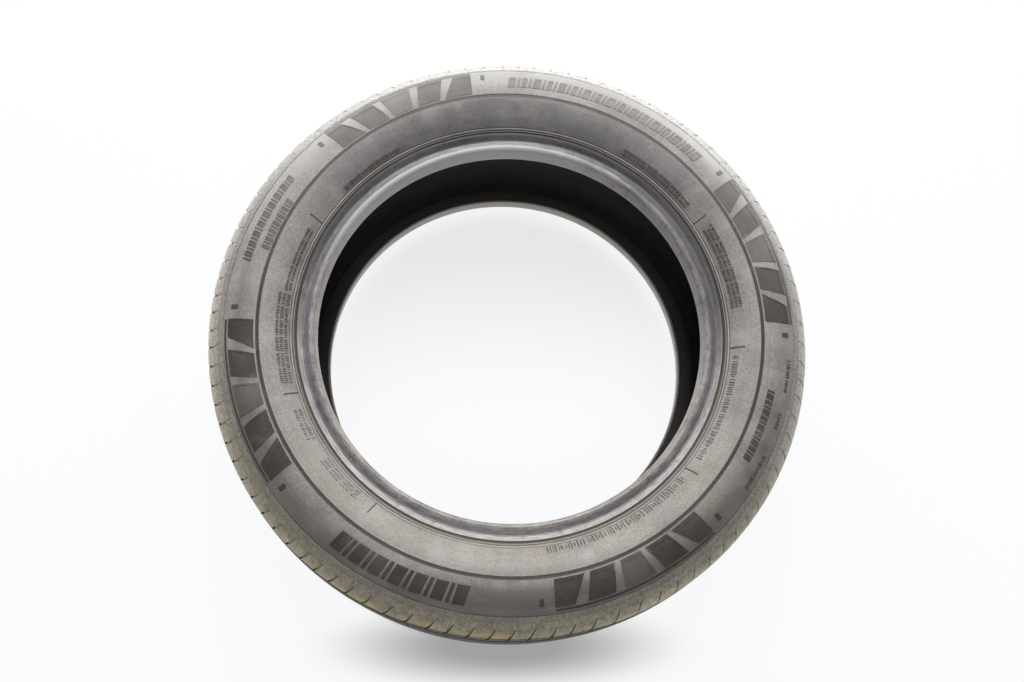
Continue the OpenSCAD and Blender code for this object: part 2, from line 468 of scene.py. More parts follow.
def block(inner_w, outer_w, long, lean=0.0, grooves=0, rows=8):
    """A flat block, inner_w wide at its inner end and outer_w at its outer end, with fine grooves along it."""
    columns = max(2, 2 * grooves + 1)
    piece = start("grid", x_subdivisions=columns, y_subdivisions=rows, size=1 * MM)
    bpy.ops.mesh.select_all(action="SELECT")
    sink(1.0)
    place(piece)
    x, y, z = (corners(piece) / MM).T
    width = lambda share: outer_w * (share + 0.5) + inner_w * (0.5 - share)
    points = np.stack([x * width(y) + lean * y, y * long, np.where(z > z.mean(), PROUD, -0.6)], 1)
    move_corners(piece, points * MM)
    bpy.ops.object.mode_set(mode="EDIT")
    if grooves:
        def in_groove(c):
            share = c.y / long
            column = int(((c.x - lean * share) / width(share) + 0.5) * columns)
            return c.z > PROUD - 0.05 and column % 2 == 1 and abs(share) < 0.5 - 0.9 / rows
        chosen(piece, in_groove)
        sink(0.3)
    return place(piece)


def bar(wide, long, proud=PROUD, root=-0.5):
    """A small bar with leaning flanks."""
    piece = start("cube", size=1 * MM)
    place(piece)
    x, y, z = (corners(piece) / MM).T
    shrink = np.where(z > 0, 0.72, 1.0)
    points = [x * wide * shrink, y * (long - (1 - shrink) * wide), np.where(z > 0, proud, root)]
    move_corners(piece, np.stack(points, 1) * MM)
    return piece


def spread(name, model, places, side):
    """Copies of one model laid at (angle, radius, width scale, length scale)."""
    laid = []
    for angle, r, *scale in places:
        twin = copy_of(model)
        points = corners(twin)
        points[:, :len(scale)] *= scale
        move_corners(twin, points)
        lay(twin, angle, r, side)
        laid.append(twin)
    bpy.data.objects.remove(model)
    return joined(name, laid, gap=0)


GROUPS = (17.6, 116.8, 198.0, 295.4)     # middles of the four fans, in degrees
FAN_R, FAN_LONG = 293.6, 28.0
KEY_WIDE = (23.0, 37.0)                  # inner and outer end of the middle block
KEY_TURN = 4.2                           # the middle block ends inside this turn, in degrees
# blocks beside it: turn from the middle, width of the inner and of the outer end
FAN_SIDES = ((7.3, 27.0, 30.0), (14.6, 32.0, 21.0))
FAN_SPREAD = 9.0                         # how far a side block leans over its length
END_TURN, END_R = 19.9, 301.5            # short block at each end
RAIL_R, RAIL_BLOCKS, RAIL_STEP = 310.4, 13, 2.66
RAIL_FROM_R = 308.6                      # only the rail lies outside this radius


def fan_blocks(name, side):
    """Four groups of plain blocks that spread like a fan, the middle one paler, with a rail over them."""
    laid = []

    def add(piece, angle, r):
        lay(piece, angle, r, side)
        laid.append(piece)

    for middle in GROUPS:
        add(block(*KEY_WIDE, FAN_LONG, grooves=8), middle, FAN_R)
        for way in (-1, 1):
            for turn, inner, outer in FAN_SIDES:
                piece = block(inner, outer, FAN_LONG, lean=FAN_SPREAD * way, grooves=7)
                add(piece, middle + way * turn, FAN_R)
            add(block(4.4, 5.0, 7.5), middle + way * END_TURN, END_R)
        for k in range(RAIL_BLOCKS):
            add(block(14.4, 14.4, 2.2, rows=2), middle + (k - RAIL_BLOCKS // 2) * RAIL_STEP, RAIL_R)
    fan = joined(name, laid, gap=0)
    for face in fan.data.polygons:
        x, y = face.center.x / MM, face.center.y / MM
        around = math.degrees(math.atan2(y, x))
        from_middle = min(abs((around - middle + 180) % 360 - 180) for middle in GROUPS)
        face.material_index = 2 if math.hypot(x, y) > RAIL_FROM_R else int(from_middle < KEY_TURN)
    return fan


# rows of plain blocks: begin and end in degrees, radius, length, widths in turn
BAR_ROWS = (
    (232.6, 261.5, 297.0, 20.0, (13.0, 4.0)),
    (43.0, 90.0, 293.6, 14.0, (8.6, 3.0, 6.0, 3.0)),
    (146.5, 167.8, 299.4, 9.4, (6.4, 2.2)),
    (151.4, 163.6, 283.4, 9.0, (4.4, 1.6)),
    (328.4, 344.8, 290.4, 8.4, (6.0, 2.2, 4.4)),
)


def word_blocks(name, side):
    """Rows of plain leaning blocks in the outer band."""
    laid = []
    for begin, end, r, long, widths in BAR_ROWS:
        angle, k = begin, 0
        while angle < end:
            wide = widths[k % len(widths)]
            half = math.degrees(wide / 2 / r)
            piece = block(wide, wide, long, lean=-0.16 * long, grooves=4 if wide > 5 else 0, rows=5)
            lay(piece, angle + half, r, side)
            laid.append(piece)
            angle += 2 * half + math.degrees((1.3 + 0.07 * long) / r)
            k += 1
    return joined(name, laid, gap=0)


# small print: begin and end in degrees, innermost radius, rows, row height
PRINT = (
    (5.2, 28.0, 246.4, 3, 3.0), (36.0, 59.0, 245.0, 2, 3.0), (122.0, 140.5, 244.4, 1, 4.6),
    (155.0, 172.4, 246.0, 2, 2.7), (173.5, 197.0, 245.2, 3, 3.4), (203.8, 212.0, 245.6, 2, 3.8),
    (218.0, 230.0, 245.2, 3, 2.6), (278.4, 317.0, 244.2, 1, 7.6), (323.4, 352.4, 246.0, 1, 5.6),
    (345.6, 352.4, 303.6, 1, 4.6), (337.6, 341.0, 303.6, 1, 4.6), (323.6, 331.2, 303.6, 1, 4.6),
)
# darker ground: begin and end in degrees, inner and outer radius, strength
DARK_GROUND = (
    (5.0, 28.4, 245.6, 258.2, 0.48), (35.0, 60.0, 243.0, 252.0, 0.42), (120.0, 141.0, 242.8, 249.8, 0.45),
    (154.0, 173.0, 245.0, 253.0, 0.22), (173.0, 198.0, 244.0, 257.8, 0.26),
)
BAR_PARTS = (1.0, 1.0, 0.8, 0.5)     # lengths of the bars, of the row height
BAR_WIDE = 0.95
TICKS = (30.9, 151.6, 199.4, 234.4, 319.6, 354.5)    # directions of the ticks, in degrees
TICK_R, TICK_WIDE, TICK_LONG = 250.8, 1.3, 14.0


def small_print(name, side):
    """Rows of little upright bars, with a wider gap every seven bars."""
    places = {}
    for begin, end, r0, rows, high in PRINT:
        for row in range(rows):
            angle, r, run = begin, r0 + (row + 0.5) * (high + 0.9), 0
            while angle < end:
                scale = random.uniform(0.7, 1.6) * (0.8 + high * 0.08)
                places.setdefault(high, []).append((angle, r, scale, random.choice(BAR_PARTS)))
                run += 1
                angle += math.degrees((1.05 * scale + 0.75 + 0.08 * high) / r)
                if run % 7 == 6:
                    angle += math.degrees(1.6 / r)
    laid = [spread(name, bar(BAR_WIDE, high), where, side) for high, where in places.items()]
    return joined(name, laid, gap=0)


def section_ticks(name, side):
    """Thin radial ticks that part the small print."""
    tick = block(TICK_WIDE, TICK_WIDE, TICK_LONG, rows=6)
    return spread(name, tick, [(angle, TICK_R) for angle in TICKS], side)


KNURLS = 864
KNURL_WIDE = 1.1
KNURL_TOP, KNURL_ROOT = -0.25, -1.3      # under the sidewall, in the ring's groove


def knurled_ring(name, side):
    """Fine ribs across the ring between the bands."""
    model = bar(KNURL_WIDE, 2 * BAND_HALF - 0.5, KNURL_TOP, KNURL_ROOT)
    return spread(name, model, [(k * 360 / KNURLS, BAND_R) for k in range(KNURLS)], side)


# ---------------------------------------------------------------------------
# Finishes
# ---------------------------------------------------------------------------
class Value:
    """A socket that can stand in a sum."""

    def __init__(self, finish, socket):
        self.finish, self.socket = finish, socket

    def __add__(self, other):
        return self.finish.maths("ADD", self, other)

    def __sub__(self, other):
        return self.finish.maths("SUBTRACT", self, other)

    def __rsub__(self, other):
        return self.finish.maths("SUBTRACT", other, self)

    def __mul__(self, other):
        return self.finish.maths("MULTIPLY", self, other)

    def __truediv__(self, other):
        return self.finish.maths("DIVIDE", self, other)

    def __pow__(self, other):
        return self.finish.maths("POWER", self, other)

    __radd__, __rmul__ = __add__, __mul__


class Finish:
    """A material, or the sky, that is built up node by node."""

    def __init__(self, name, owner=None):
        self.material = owner or bpy.data.materials.new(name)
        self.material.use_nodes = True
        self.tree = self.material.node_tree
        self.tree.nodes.clear()

    def node(self, kind, settings=(), sockets=(), out=0):
        """A node with its settings and then its sockets set, as one output or a tuple of them."""
        made = self.tree.nodes.new(kind)
        for key, value in dict(settings).items():
            setattr(made, key, value)
        for key, value in dict(sockets).items():
            if isinstance(value, Value):
                self.tree.links.new(value.socket, made.inputs[key])
            else:
                made.inputs[key].default_value = value
        if isinstance(out, tuple):
            return [Value(self, made.outputs[key]) for key in out]
        return Value(self, made.outputs[out]) if len(made.outputs) else None

    def rise(self, value, low, high):
        """0 below low, 1 above high, soft between."""
        return self.node("ShaderNodeMapRange", {"interpolation_type": "SMOOTHSTEP"},
                         {"Value": value, "From Min": low, "From Max": high})

    def strip(self, value, low, high, soft):
        """1 between low and high."""
        return self.rise(value, low - soft, low + soft) * (1 - self.rise(value, high - soft, high + soft))

    def mix(self, factor, a, b, blend="MIX"):
        """Colour b over colour a."""
        return self.node("ShaderNodeMix", {"data_type": "RGBA", "blend_type": blend},
                         {0: factor, 6: a, 7: b}, out=2)

    def noise(self, vector, scale, detail=2.0, rough=0.5):
        return self.node("ShaderNodeTexNoise", {}, {"Vector": vector, "Scale": scale, "Detail": detail,
                                                    "Roughness": rough})

    def join_xyz(self, x, y, z):
        return self.node("ShaderNodeCombineXYZ", {}, {"X": x, "Y": y, "Z": z})

    def place(self):
        """Object coordinates with the radius, height over the middle and the direction round the axis."""
        self.at = self.node("ShaderNodeTexCoord", out="Object")
        x, y, z = self.split(self.at)
        self.r = (x * x + y * y) ** 0.5 * (1 / MM)
        self.h = z * (1 / MM) - MID_Z
        self.c, self.s = x / self.r * (1 / MM), y / self.r * (1 / MM)
        self.turn = self.maths("ARCTAN2", y, x)

    def towards(self, degrees):
        """Cosine of the angle from a direction round the axis."""
        return self.c * cosine(degrees) + self.s * math.sin(math.radians(degrees))

    def blot(self, degrees, r, wide):
        """A ragged spot at a direction and a radius, of a width in millimetres."""
        x, y = r * cosine(degrees), r * math.sin(math.radians(degrees))
        away = self.node("ShaderNodeVectorMath", {"operation": "DISTANCE"},
                         {0: self.join_xyz(self.c * self.r, self.s * self.r, 0.0), 1: (x, y, 0.0)}, out=1)
        return 1 - self.rise(away + 6.0 * self.noise(self.at, 90.0, 3.0), wide * 0.4, wide * 1.6)

    def streaks(self, around, along, detail=3.0):
        """Noise drawn out along the radius."""
        return self.noise(self.join_xyz(self.c * around, self.s * around, self.r * along), 1.0, detail)

    def maths(self, operation, a, b=0.0):
        return self.node("ShaderNodeMath", {"operation": operation}, {0: a, 1: b})

    def split(self, vector):
        """The three parts of a vector."""
        return self.node("ShaderNodeSeparateXYZ", {}, {0: vector}, out=(0, 1, 2))

    def mottle(self, colour, amount, value, dark, light):
        """Darker and lighter grain laid over a colour, both around a middle grey."""
        return self.mix(amount, colour, self.mix(value, dark, light), "OVERLAY")

    def surface(self, colour, rough, height, bump, distance, specular=0.5):
        """The rubber itself: colour, roughness, and grain of a height in metres."""
        relief = self.node("ShaderNodeBump", {}, {"Strength": bump, "Distance": distance, "Height": height})
        shader = self.node("ShaderNodeBsdfPrincipled", {}, {
            "Base Color": colour, "Roughness": rough, "Specular IOR Level": specular, "Normal": relief})
        self.node("ShaderNodeOutputMaterial", {}, {"Surface": shader})
        return self.material


def rgb(r, g, b):
    return (r, g, b, 1.0)


def cosine(degrees):
    return math.cos(math.radians(degrees))


NEAR_BLACK, NEAR_WHITE = rgb(0.02, 0.02, 0.02), rgb(0.98, 0.97, 0.96)
# dark tone of the outer band: painted shade at the bottom, and a darker patch on the left
OUTER_BAND_DARK = rgb(0.120, 0.110, 0.102)
# blots on the outer sidewall: direction in degrees, radius, width
BLUE_BLOTS = ((61.0, 256.5, 7.5), (72.0, 254.5, 7.0), (89.0, 262.0, 8.0))
PALE_BLOTS = ((112.0, 265.0, 9.0), (104.0, 267.0, 6.0), (253.0, 266.0, 12.0), (287.0, 264.0, 9.0))
SMUDGES = ((326.0, 302.0, 9.0), (333.0, 302.0, 9.0), (340.0, 300.0, 7.0))
# thin lines round the bead, painted highlights on the crests of the ribs and painted shade between and beside
# them: inner and outer radius, colour
BEAD_LINES = (
    (236.5, 237.7, rgb(0.060, 0.052, 0.050)), (239.8, 240.5, rgb(0.400, 0.375, 0.355)),
    (240.7, 242.0, rgb(0.050, 0.043, 0.040)), (242.3, 243.2, rgb(0.440, 0.415, 0.400)),
    (243.5, 244.4, rgb(0.080, 0.070, 0.064)), (230.8, 231.6, rgb(0.090, 0.085, 0.100)),
)


def weathered_rubber():
    """Sidewall and bead rubber: grey with dust, dirt in the ledge and a bluish bloom, with painted light and
    shade on the bands and the bead.
    """
    f = Finish("weathered_rubber")
    f.place()
    outer = f.rise(f.h, -4.0, 4.0)
    up, down = f.towards(88), f.towards(272)
    colour = f.mix(f.noise(f.at, 17.0, 5.0, 0.6), rgb(0.170, 0.157, 0.153), rgb(0.375, 0.353, 0.344))
    colour = f.mix(f.rise(down, -0.4, 0.8), colour, rgb(1.0, 0.970, 0.890), "MULTIPLY")
    # fine mottling, radial dust streaks and rubbed arcs
    fine = f.rise(f.noise(f.at, 420.0, 4.0, 0.75), 0.25, 0.75)
    colour = f.mottle(colour, 0.36, fine, NEAR_BLACK, NEAR_WHITE)
    streak = f.rise(f.streaks(9.0, 0.012), 0.48, 0.74)
    colour = f.mix(streak * 0.50, colour, rgb(0.42, 0.395, 0.38))
    rubbed = f.rise(f.noise(f.join_xyz(f.c * 2.2, f.s * 2.2, f.r * 0.45), 1.0, 4.0, 0.6), 0.55, 0.75)
    colour = f.mix(rubbed * 0.35, colour, rgb(0.130, 0.120, 0.115))
    # cooler bloom and painted shade over the upper part of the inner band
    inner_band = f.strip(f.r, 243.5, 272.5, 1.5)
    cool = inner_band * f.rise(up, 0.35, 0.9) * f.rise(f.noise(f.at, 24.0, 3.0), 0.30, 0.75)
    colour = f.mix(cool * 0.72, colour, rgb(0.176, 0.171, 0.187))
    for blot in BLUE_BLOTS:
        colour = f.mix(outer * f.blot(*blot) * 0.55, colour, rgb(0.135, 0.150, 0.215))
    for blot in PALE_BLOTS:
        colour = f.mix(outer * f.blot(*blot) * 0.40, colour, rgb(0.42, 0.40, 0.40))
    # painted shade makes the outer band darker towards the bottom, and painted light makes it paler over the
    # top
    outer_band = f.rise(f.r + 9.0 * (f.noise(f.at, 22.0, 4.0) - 0.5), 276.0, 301.0)
    darker_below = f.rise(down, -0.25, 0.7) * (0.55 + 0.6 * f.noise(f.at, 30.0, 3.0))
    colour = f.mix(outer_band * darker_below * 0.85, colour, OUTER_BAND_DARK)
    colour = f.mix(outer_band * f.rise(up, 0.1, 0.8) * 0.60, colour, rgb(0.38, 0.37, 0.36))
    left = outer_band * f.rise(f.towards(190), 0.86, 0.98) * f.strip(f.r, 279.0, 301.0, 4.0)
    colour = f.mix(left * 0.5, colour, OUTER_BAND_DARK)
    low = inner_band * f.rise(f.towards(245), 0.5, 0.95)
    colour = f.mix(low * 0.16, colour, rgb(0.120, 0.108, 0.098))
    # more painted shade on the outer band right at the bottom
    bottom = f.rise(f.towards(272), 0.93, 0.99) * f.strip(f.r, 286.0, 306.0, 4.0)
    colour = f.mix(bottom * 0.45, colour, rgb(0.075, 0.068, 0.062))
    for blot in SMUDGES:
        colour = f.mix(outer * f.blot(*blot) * 0.50, colour, rgb(0.100, 0.088, 0.072))
    # slow patches, strongest on the bead and the ring
    patchy = f.noise(f.join_xyz(f.c * 5.5, f.s * 5.5, f.r * 0.04), 1.0, 4.0, 0.62)
    marked = 0.35 + 0.65 * (1 - f.rise(f.r, 240.0, 246.0))
    colour = f.mix(marked * f.rise(patchy, 0.50, 0.70) * 0.55, colour, rgb(0.44, 0.42, 0.41))
    colour = f.mix(marked * (1 - f.rise(patchy, 0.32, 0.50)) * 0.55, colour, rgb(0.105, 0.098, 0.094))
    # the ring's groove is painted dark as shade, less so over the top
    ring = f.strip(f.r, BAND_R - BAND_HALF, BAND_R + BAND_HALF, 0.3)
    colour = f.mix(ring * (0.80 - 0.45 * f.rise(up, -0.2, 0.8)), colour, rgb(0.050, 0.045, 0.042))
    # dark ground under the small print
    for begin, end, r0, r1, amount in DARK_GROUND:
        middle, half = (begin + end) / 2, (end - begin) / 2
        ragged = f.r + 5.0 * (f.noise(f.at, 120.0, 3.0) - 0.5)
        ragged_turn = f.towards(middle) + 0.006 * f.noise(f.at, 90.0)
        spot = f.rise(ragged_turn, cosine(half + 1.5), cosine(half * 0.7))
        patch = outer * spot * f.strip(ragged, r0 + 1.0, r1 - 1.0, 1.6)
        colour = f.mix(patch * amount, colour, rgb(0.090, 0.080, 0.074))
    # bead: bluish hollow, painted light on the ridge at the bottom and painted shade on it over the top, and
    # brown dirt in the ledge, painted nearly black as shade over the top
    hollow = f.strip(f.r, 224.6, 231.0, 1.3) * (0.6 + 0.6 * f.noise(f.at, 40.0, 3.0))
    colour = f.mix(hollow * 0.85, colour, rgb(0.125, 0.122, 0.150))
    ridge = f.strip(f.r, 231.2, 236.4, 0.7)
    inner_edge = 231.6 - 2.0 * f.rise(f.towards(290), 0.1, 0.7)
    bright = f.rise(f.r - inner_edge, -0.8, 0.8) * (1 - f.rise(f.r, 235.6, 237.2)) * f.rise(down, -0.3, 0.6)
    colour = f.mix(bright * 0.5, colour, rgb(0.45, 0.43, 0.415))
    colour = f.mix(ridge * f.rise(up, -0.25, 0.5) * 0.85, colour, rgb(0.100, 0.095, 0.098))
    ledge = f.strip(f.r, 236.2, 240.3, 0.6) * (0.8 + 0.5 * f.noise(f.at, 120.0))
    # the ledge's brown dirt turns to painted shade, nearly black, over the top
    dirt = f.mix(f.rise(up, -0.6, 0.3), rgb(0.118, 0.094, 0.078), rgb(0.024, 0.021, 0.020))
    colour = f.mix(ledge, colour, dirt)
    # painted highlights on the rib crests and painted shade between them
    for r0, r1, shade in BEAD_LINES:
        colour = f.mix(f.strip(f.r, r0, r1, 0.2) * (0.4 + 0.6 * f.noise(f.at, 70.0, 3.0)), colour, shade)
    scuffs = f.rise(f.noise(f.join_xyz(f.c * 26.0, f.s * 26.0, f.r * 0.06), 1.0, 4.0, 0.7), 0.57, 0.66)
    bead = 1 - f.rise(f.r, 234.0, 238.0)
    colour = f.mix(scuffs * bead * 0.45, colour, rgb(0.075, 0.070, 0.070))
    arcs = f.noise(f.join_xyz(f.c * 16.0, f.s * 16.0, (f.r + 0.6 * f.h) * 1.3), 1.0, 4.0, 0.65)
    colour = f.mottle(colour, bead * 0.55, f.rise(arcs, 0.28, 0.72),
                      rgb(0.04, 0.04, 0.04), rgb(0.96, 0.95, 0.96))
    # the heel is painted pale over the top as light, and is darker on the right
    heel = 1 - f.rise(f.r, 222.8, 225.4)
    colour = f.mix(heel * f.rise(f.towards(112), 0.50, 0.95) * 0.85, colour, rgb(0.520, 0.505, 0.515))
    colour = f.mix(bead * f.rise(f.towards(20), 0.70, 0.95) * 0.38, colour, rgb(0.110, 0.105, 0.110))
    colour = f.mix(heel * f.rise(down, 0.3, 0.8) * 0.25, colour, rgb(0.120, 0.110, 0.100))
    # the far seat is painted pale as a reflection of the white floor
    seat = (1 - f.rise(f.r, 219.0, 221.0)) * (1 - f.rise(f.h, -66.0, -58.0))
    colour = f.mix(seat * 0.95, colour, rgb(0.62, 0.58, 0.50))
    specks = f.rise(f.noise(f.at, 420.0, 2.0), 0.68, 0.76)
    colour = f.mix(specks * 0.5, colour, rgb(0.09, 0.08, 0.075))
    rough = 0.48 - 0.14 * bead + 0.10 * streak + 0.14 * (fine - 0.5)
    grain = 0.5 * f.noise(f.at, 900.0, 3.0) + 0.5 * f.noise(f.at, 160.0, 2.0)
    return f.surface(colour, rough, grain, 0.35, 0.0004)


def tread_rubber():
    """Buttress, shoulder and crown: chalky by the slots, golden dirt at the lower edge, painted light and
    shade, and dark where it ran.
    """
    f = Finish("tread_rubber")
    f.place()
    # u runs along the tread from the middle of the slot, v across it from its own middle
    u, v, _ = f.split(f.node("ShaderNodeUVMap", {"uv_map": "flat"}))
    across = f.maths("ABSOLUTE", v)
    outer = f.rise(f.h, -12.0, 12.0)
    down = f.towards(268)
    clouds = f.noise(f.at, 30.0, 4.0, 0.6)
    fine = f.rise(f.noise(f.at, 330.0, 4.0, 0.75), 0.25, 0.75)
    colour = f.mix(clouds, rgb(0.190, 0.175, 0.168), rgb(0.350, 0.330, 0.318))
    chalky = f.mix(clouds, rgb(0.308, 0.295, 0.274), rgb(0.478, 0.462, 0.430))
    blocks = f.rise(f.r, 320.2, 321.6)
    colour = f.mix(blocks * 0.9, colour, chalky)
    colour = f.mix(blocks * f.rise(f.towards(262), 0.0, 0.9) * 0.43, colour, rgb(0.240, 0.222, 0.172))
    # painted light where the shoulder turns away, except right at the bottom, and over the top
    turned = (f.rise(f.r, 324.0, 333.0) * (1 - 0.9 * f.rise(f.towards(262), 0.80, 0.96))
              * (1 - f.rise(f.towards(80), -0.1, 0.6)))
    colour = f.mix(turned * outer * 0.85, colour, rgb(0.600, 0.575, 0.510))
    top = f.rise(f.towards(80), 0.1, 0.9)
    colour = f.mix(top * outer * (0.78 - 0.23 * blocks), colour, rgb(0.500, 0.490, 0.470))
    colour = f.mottle(colour, 0.42, fine, NEAR_BLACK, rgb(0.98, 0.97, 0.95))
    low = f.rise(down, 0.0, 0.9)
    blotch = f.rise(f.noise(f.at, 120.0, 4.0, 0.65), 0.42, 0.62) * low * f.rise(f.r, 316.0, 326.0)
    colour = f.mix(blotch * 0.45, colour, rgb(0.135, 0.120, 0.088))
    colour = f.mix(f.rise(f.towards(252), -0.2, 0.85), colour, rgb(1.02, 0.985, 0.870), "MULTIPLY")
    # a pale line down each shallow slot, and a painted highlight on the edge beside each deep one
    wander = u + 1.4 * (f.noise(f.at, 70.0) - 0.5)
    line = f.strip(wander, -1.2, 1.0, 0.4) * f.strip(f.r, 320.8, 328.5, 1.2)
    edge = f.strip(wander, 1.2, 2.6, 0.5) * f.strip(f.r, 327.5, 337.4, 1.2)
    pale = (0.6 * line + 0.7 * edge) * (0.25 + 0.75 * f.noise(f.at, 55.0))
    colour = f.mix(pale, colour, f.mix(f.rise(down, -0.5, 0.6), rgb(0.60, 0.59, 0.57), rgb(0.62, 0.59, 0.50)))
    # tan flecks all over, and golden dirt caught along the lower edge
    flecks = f.rise(f.noise(f.at, 95.0, 5.0, 0.65), 0.50, 0.66) * f.strip(f.r, 322.0, 337.5, 2.5)
    tan = f.mix(f.rise(down, -0.5, 0.5), rgb(0.52, 0.51, 0.48), rgb(0.48, 0.42, 0.305))
    colour = f.mix(flecks * (0.15 + 0.55 * low), colour, tan)
    dirty = f.rise(f.towards(268), 0.90, 0.985)
    golden = (outer * f.rise(f.towards(247), 0.80, 0.97)
              * f.strip(f.r + 2.2 * dirty + 3.0 * (clouds - 0.5), 332.4, 336.8, 1.0))
    colour = f.mix(golden * f.rise(f.noise(f.at, 38.0, 3.0), 0.36, 0.60) * 0.8, colour, rgb(0.55, 0.42, 0.185))
    # the side it lies on is duller
    colour = f.mix((1 - outer) * 0.6, colour, rgb(0.170, 0.160, 0.145))
    # painted shade over the round of the shoulder, reaching higher over the top, and the crown itself is dark
    # where it ran on the road, with painted shade making it darker at the bottom
    height = f.maths("ABSOLUTE", f.h)
    shade_to = 62.0 + 15.0 * f.rise(f.towards(80), -0.2, 0.9)
    shoulder_shade = 1 - f.rise(height + 7.0 * (f.noise(f.at, 50.0, 4.0) - 0.5) - shade_to, -14.0, 0.0)
    colour = f.mix(shoulder_shade * (0.86 - 0.3 * f.rise(down, 0.5, 0.9)), colour, rgb(0.150, 0.139, 0.122))
    ragged = across + 3.0 * (f.noise(f.at, 140.0, 3.0) - 0.5)
    crown = 1 - f.rise(ragged - 9.5 * dirty, CROWN_EDGE - 1.0, CROWN_EDGE + 1.6)
    road = f.noise(f.at, 60.0, 5.0)
    darker_below = f.mix(f.rise(down, -0.1, 0.75), f.mix(road, rgb(0.055, 0.051, 0.045), rgb(0.140, 0.131, 0.117)),
                 f.mix(road, rgb(0.016, 0.012, 0.008), rgb(0.070, 0.056, 0.040)))
    colour = f.mix(crown * 0.95, colour, darker_below)
    rough = 0.52 + 0.2 * (fine - 0.3)
    grain = 0.5 * f.noise(f.at, 700.0, 3.0) + 0.5 * f.noise(f.at, 150.0, 3.0)
    return f.surface(colour, rough, grain, 0.5, 0.0006, specular=0.2)


def slot_rubber():
    """Walls and floors of the slots, sipes and grooves, with dirt left in them."""
    f = Finish("slot_rubber")
    f.place()
    dirt = f.rise(f.noise(f.at, 90.0, 4.0), 0.45, 0.65)
    colour = f.mix(dirt, rgb(0.014, 0.012, 0.010), rgb(0.060, 0.050, 0.038))
    return f.surface(colour, 0.8, f.noise(f.at, 500.0, 3.0), 0.4, 0.0005, specular=0.2)


def block_rubber(name, sheen_level, level=1.0):
    """Smoother rubber of the raised marks and the knurled ring, with painted sheen over the top."""
    f = Finish(name)
    f.place()
    # painted sheen makes the marks paler over the top
    painted_sheen = f.rise(f.towards(88), -0.1, 0.9) * (0.45 + 0.7 * f.noise(f.at, 60.0, 3.0))
    colour = f.mix(f.noise(f.at, 40.0, 4.0, 0.6), rgb(0.026 * level, 0.022 * level, 0.019 * level),
                   rgb(0.086 * level, 0.075 * level, 0.067 * level))
    colour = f.mix(painted_sheen * 0.75, colour, rgb(sheen_level, sheen_level * 0.965, sheen_level * 0.88))
    smudge = f.rise(f.noise(f.at, 19.0, 4.0, 0.65), 0.48, 0.70)
    strength = 0.20 + 0.2 * f.rise(f.towards(190), 0.5, 0.9)
    colour = f.mix(smudge * strength, colour, rgb(0.20, 0.186, 0.174))
    specks = f.rise(f.noise(f.at, 330.0, 3.0), 0.60, 0.74)
    colour = f.mix(specks * 0.25, colour, rgb(0.24, 0.225, 0.21))
    grain = f.noise(f.at, 1400.0, 2.0)
    return f.surface(colour, 0.6, grain, 0.2, 0.0003, specular=0.35)


def print_rubber():
    """Small print, with dirt caught round it."""
    f = Finish("print_rubber")
    f.place()
    colour = f.mix(f.noise(f.at, 120.0, 3.0), rgb(0.030, 0.027, 0.025), rgb(0.120, 0.112, 0.106))
    return f.surface(colour, 0.5, f.noise(f.at, 900.0, 2.0), 0.2, 0.0003)


def liner_rubber():
    """Inner liner: painted pale as fill light, the faint cross pattern of the ply, a few brown spots, and
    painted shade making it nearly black on the far side.
    """
    f = Finish("liner_rubber")
    f.place()
    ply = f.maths("SINE", f.turn * 240.0 + f.h * 0.35)
    cloth = f.maths("SINE", f.h * 1.6)
    # the liner is painted pale, as fill light inside the tyre
    colour = f.mix(f.noise(f.at, 30.0, 4.0, 0.6), rgb(0.240, 0.214, 0.208), rgb(0.450, 0.405, 0.393))
    colour = f.mix(f.rise(f.noise(f.at, 55.0, 3.0), 0.62, 0.72) * 0.6, colour, rgb(0.200, 0.135, 0.095))
    # painted shade: nearly black on the far side
    far = 1 - f.rise(f.h, -60.0, -20.0)
    colour = f.mix(far * 0.92, colour, rgb(0.042, 0.037, 0.036))
    grain = 0.5 * f.noise(f.at, 300.0, 3.0) + 0.12 * ply + 0.08 * cloth
    return f.surface(colour, 0.6, grain, 0.35, 0.0006)


# on the floor, in metres
SHADOW_AT = (0.0, -0.340, 0.0)   # the deepest shadow, by the lower edge
SHADOW_STRETCH = (0.24, 1.0, 1.0)
UNDER_AT = (0.0, 0.012, 0.0)     # middle of the ring that the tyre covers
UNDER_RING = (0.238, 0.346)


def floor_finish():
    """White for the camera and for gloss, and plain paint under the tyre and in its deepest shadow."""
    f = Finish("studio_floor")
    seen = f.maths("MAXIMUM", *f.node("ShaderNodeLightPath", out=("Is Camera Ray", "Is Glossy Ray")))
    at = f.node("ShaderNodeTexCoord", out="Object")

    def vector(operation, a, b, out=1):
        return f.node("ShaderNodeVectorMath", {"operation": operation}, {0: a, 1: b}, out)

    away = vector("DISTANCE", vector("MULTIPLY", at, SHADOW_STRETCH, out=0), SHADOW_AT)
    from_axis = vector("DISTANCE", at, (0.0, 0.0, 0.0))
    under = f.strip(vector("DISTANCE", at, UNDER_AT), *UNDER_RING, 0.008)
    in_hole = (1 - f.rise(from_axis, 0.20, 0.24)) * f.rise(f.split(at)[1], -0.08, 0.20)
    white = 0.12 + 0.80 * f.rise(away, 0.012, 0.060) + 0.06 * f.rise(from_axis, 0.5, 1.6) - 0.16 * in_hole
    white = white * (1 - 0.9 * under)
    paint = f.node("ShaderNodeBsdfDiffuse", {}, {"Color": (0.9, 0.9, 0.9, 1)})
    glow = f.node("ShaderNodeEmission", {}, {"Color": (0.985, 0.99, 1.0, 1), "Strength": 1.0})
    mixed = f.node("ShaderNodeMixShader", {}, {0: seen * white, 1: paint, 2: glow})
    f.node("ShaderNodeOutputMaterial", {}, {"Surface": mixed})
    return f.material


